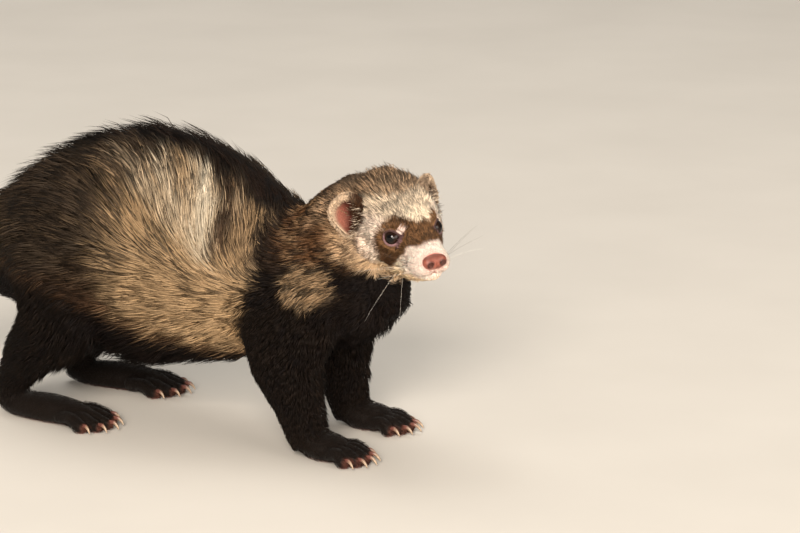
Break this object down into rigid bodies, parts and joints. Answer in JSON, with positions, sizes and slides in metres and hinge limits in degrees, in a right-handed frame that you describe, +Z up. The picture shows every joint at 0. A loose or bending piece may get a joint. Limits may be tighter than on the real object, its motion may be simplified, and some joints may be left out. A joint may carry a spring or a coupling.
{
  "type": "standing ferret",
  "caption": "Life-size still ferret standing on four feet, back arched, head turned to its right, long tapering tail.",
  "frame": {"origin": "the middle of the footprint, on the floor", "axes": "+X to the animal's left, +Y to its tail, +Z up"},
  "size_m": [0.0962, 0.3778, 0.143],
  "materials": {
    "pale_coat": "long pale cream fur with dark guard hairs",
    "brown_coat": "mid-brown fur with pale tips",
    "sable_coat": "very dark brown fur",
    "face_coat": "short creamy white fur with a brown mask",
    "nose_skin": "moist pink skin",
    "eye": "wet and near black"
  },
  "bodies": {
    "root": {"torso": "pale_coat", "neck": "brown_coat", "tail": "sable_coat", "head": "face_coat", "nose": "nose_skin", "eye_left": "eye", "eye_right": "eye", "ear_left": "face_coat", "ear_right": "face_coat", "foreleg_left": "sable_coat", "foreleg_right": "sable_coat", "hindleg_left": "sable_coat", "hindleg_right": "sable_coat", "forepaw_left": "sable_coat", "forepaw_right": "sable_coat", "hindpaw_left": "sable_coat", "hindpaw_right": "sable_coat"}
  },
  "joints": []
}
